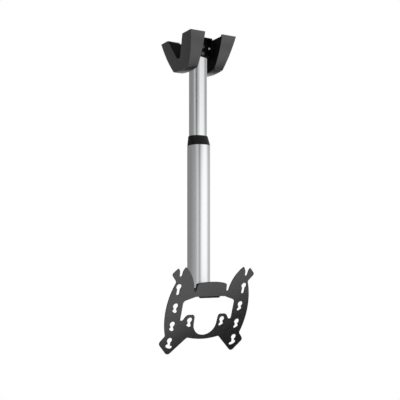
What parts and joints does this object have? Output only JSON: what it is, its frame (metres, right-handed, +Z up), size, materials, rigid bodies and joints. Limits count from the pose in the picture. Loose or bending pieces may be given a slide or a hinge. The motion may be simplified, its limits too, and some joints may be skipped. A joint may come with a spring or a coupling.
{
  "type": "tv ceiling mount",
  "caption": "Telescopic ceiling mount for a flat screen: a turning column of two silver tubes under V-shaped covers, with a tilting keyhole plate.",
  "frame": {"origin": "centre of the ceiling bracket's top face, on the column's axis, at the ceiling", "axes": "+Z up into the ceiling, -Y towards the viewer of the screen, X across the screen plate"},
  "size_m": [0.2584, 0.18, 0.8514],
  "materials": {
    "black_steel": "fine textured powder coat",
    "black_bracket_coat": "matt black coat",
    "silver_aluminium": "satin anodised",
    "black_cover_plastic": "fine spark texture",
    "black_collar_plastic": "satin",
    "guide_plastic": "moulded",
    "bearing_nylon": "natural nylon",
    "zinc_steel": "bright zinc plate",
    "black_fasteners": "black oxide"
  },
  "bodies": {
    "ceiling": {"ceiling_bracket": "black_bracket_coat", "swivel_block": "black_bracket_coat", "cross_bolts": "zinc_steel", "brake_screws": "black_fasteners", "left_cover": "black_cover_plastic", "right_cover": "black_cover_plastic", "cover_screws": "zinc_steel"},
    "column": {"upper_tube": "silver_aluminium", "spindle_plug": "zinc_steel", "thrust_washer": "bearing_nylon", "spindle_washer": "zinc_steel", "spindle_nut": "zinc_steel", "column_guide": "guide_plastic", "column_screws": "black_fasteners"},
    "sleeve": {"lower_tube": "silver_aluminium", "collar": "black_collar_plastic", "lock_shoe": "guide_plastic", "lock_screws": "black_fasteners", "end_block": "black_steel", "end_screws": "black_fasteners", "guide_pin": "black_fasteners"},
    "screen_carrier": {"screen_plate": "black_steel", "tilt_yoke": "black_steel", "pivot_bolt": "black_fasteners", "pivot_nut": "black_fasteners", "pivot_washers": "black_fasteners", "friction_washers": "bearing_nylon"}
  },
  "joints": [
    {"name": "swivel", "type": "hinge", "parent": "ceiling", "child": "column", "pos_m": [0, 0, -0.05], "axis": [0, 0, 1], "range_deg": [-180, 180]},
    {"name": "height", "type": "slide", "parent": "column", "child": "sleeve", "axis": [0, 0, 1], "range_m": [-0.11, 0.16]},
    {"name": "tilt", "type": "hinge", "parent": "sleeve", "child": "screen_carrier", "pos_m": [0, -0.0516, -0.6838], "axis": [1, 0, 0], "range_deg": [-20, 0]}
  ]
}
